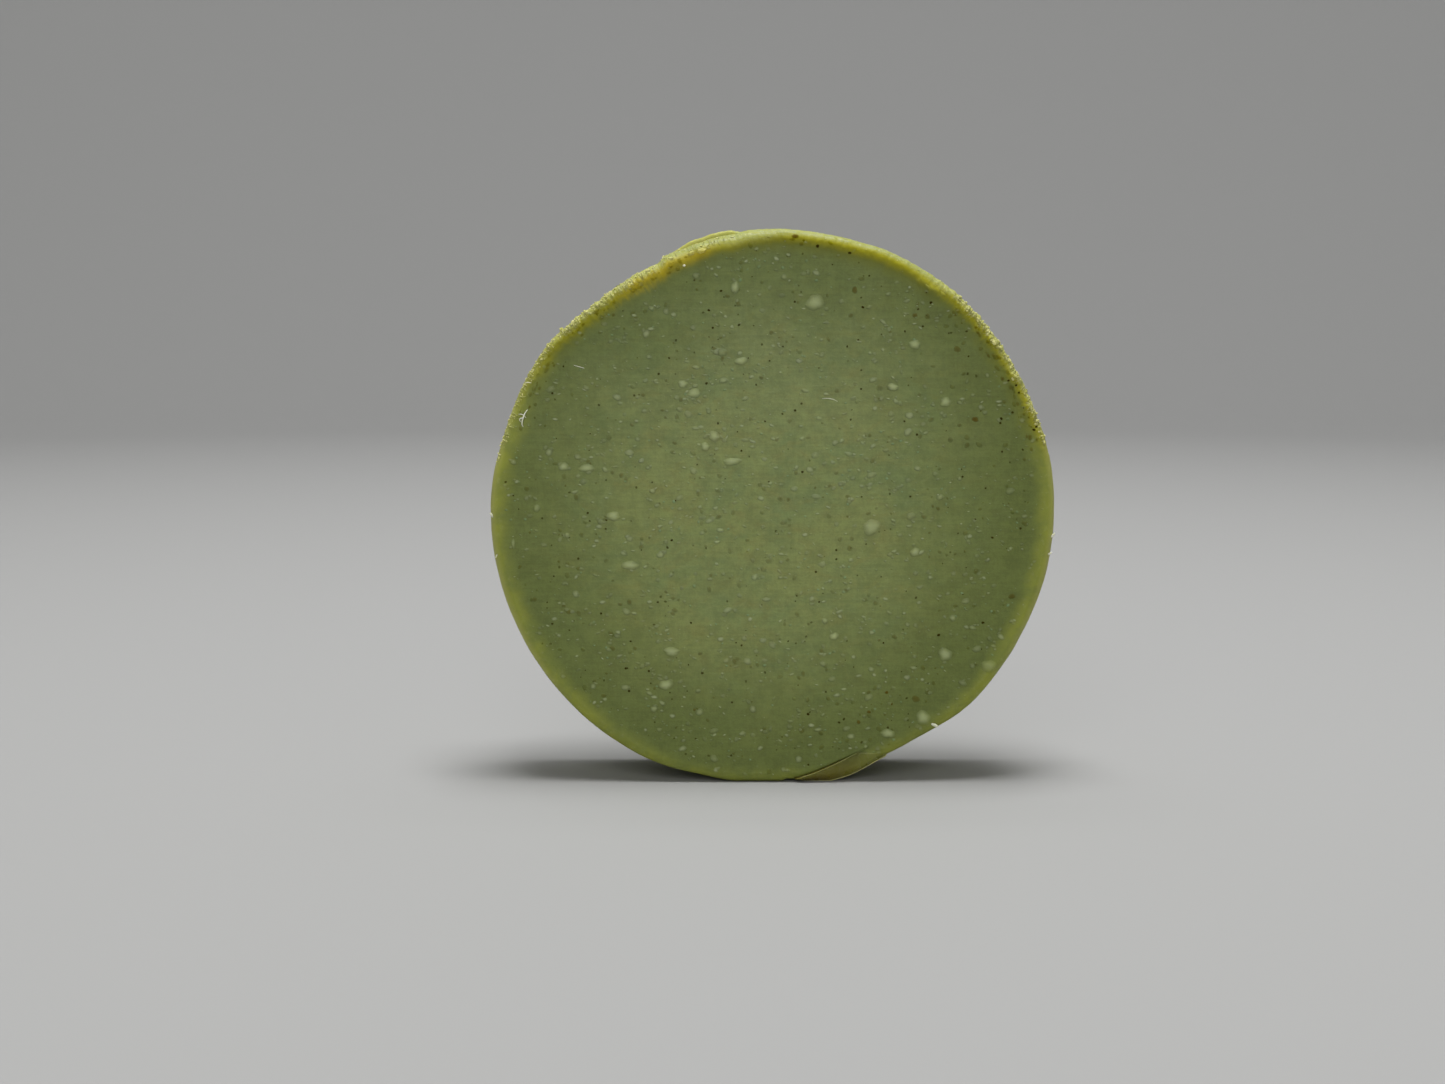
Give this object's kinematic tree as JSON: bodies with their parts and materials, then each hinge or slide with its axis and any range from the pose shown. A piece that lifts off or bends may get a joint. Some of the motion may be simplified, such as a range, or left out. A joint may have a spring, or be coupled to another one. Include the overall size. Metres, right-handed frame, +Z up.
{
  "type": "shaving soap puck",
  "caption": "Round flat cake of green shaving soap with a dried yellow rind, pale granules and a torn edge, standing on its rim.",
  "frame": {"origin": "under the middle of the cake, on the surface that its flat foot stands on", "axes": "+Z up, +Y from the front face to the back face, +X to the right as the front face is seen"},
  "size_m": [0.0766, 0.0168, 0.0753],
  "materials": {
    "soap_green": "hard cast soap, cut smooth, waxy satin",
    "rind_yellow": "dried translucent soap skin, yellow green",
    "paring_olive": "thin lifted soap skin, olive brown, slightly glossy",
    "granule_pale": "pale hard lump set in the soap",
    "flake_pale": "dry pale soap shaving"
  },
  "bodies": {
    "root": {"soap_core": "soap_green", "rim_rind": "rind_yellow", "lifted_paring": "paring_olive", "top_burr_lip": "rind_yellow", "granule_01": "granule_pale", "granule_02": "granule_pale", "granule_03": "granule_pale", "granule_04": "granule_pale", "granule_05": "granule_pale", "granule_06": "granule_pale", "granule_07": "granule_pale", "granule_08": "granule_pale", "granule_09": "granule_pale", "granule_10": "granule_pale", "granule_11": "granule_pale", "granule_12": "granule_pale", "granule_13": "granule_pale", "granule_14": "granule_pale", "granule_15": "granule_pale", "granule_16": "granule_pale", "granule_17": "granule_pale", "granule_18": "granule_pale", "granule_19": "granule_pale", "granule_20": "granule_pale", "granule_21": "granule_pale", "granule_22": "granule_pale", "granule_23": "granule_pale", "granule_24": "granule_pale", "curl_shaving": "flake_pale", "edge_flake_left_upper": "flake_pale", "edge_flake_left_lower": "flake_pale", "edge_flake_right_upper": "flake_pale", "edge_flake_right_lower": "flake_pale", "white_flake_lower_right": "flake_pale", "crumb_upper_left": "flake_pale"}
  },
  "joints": []
}
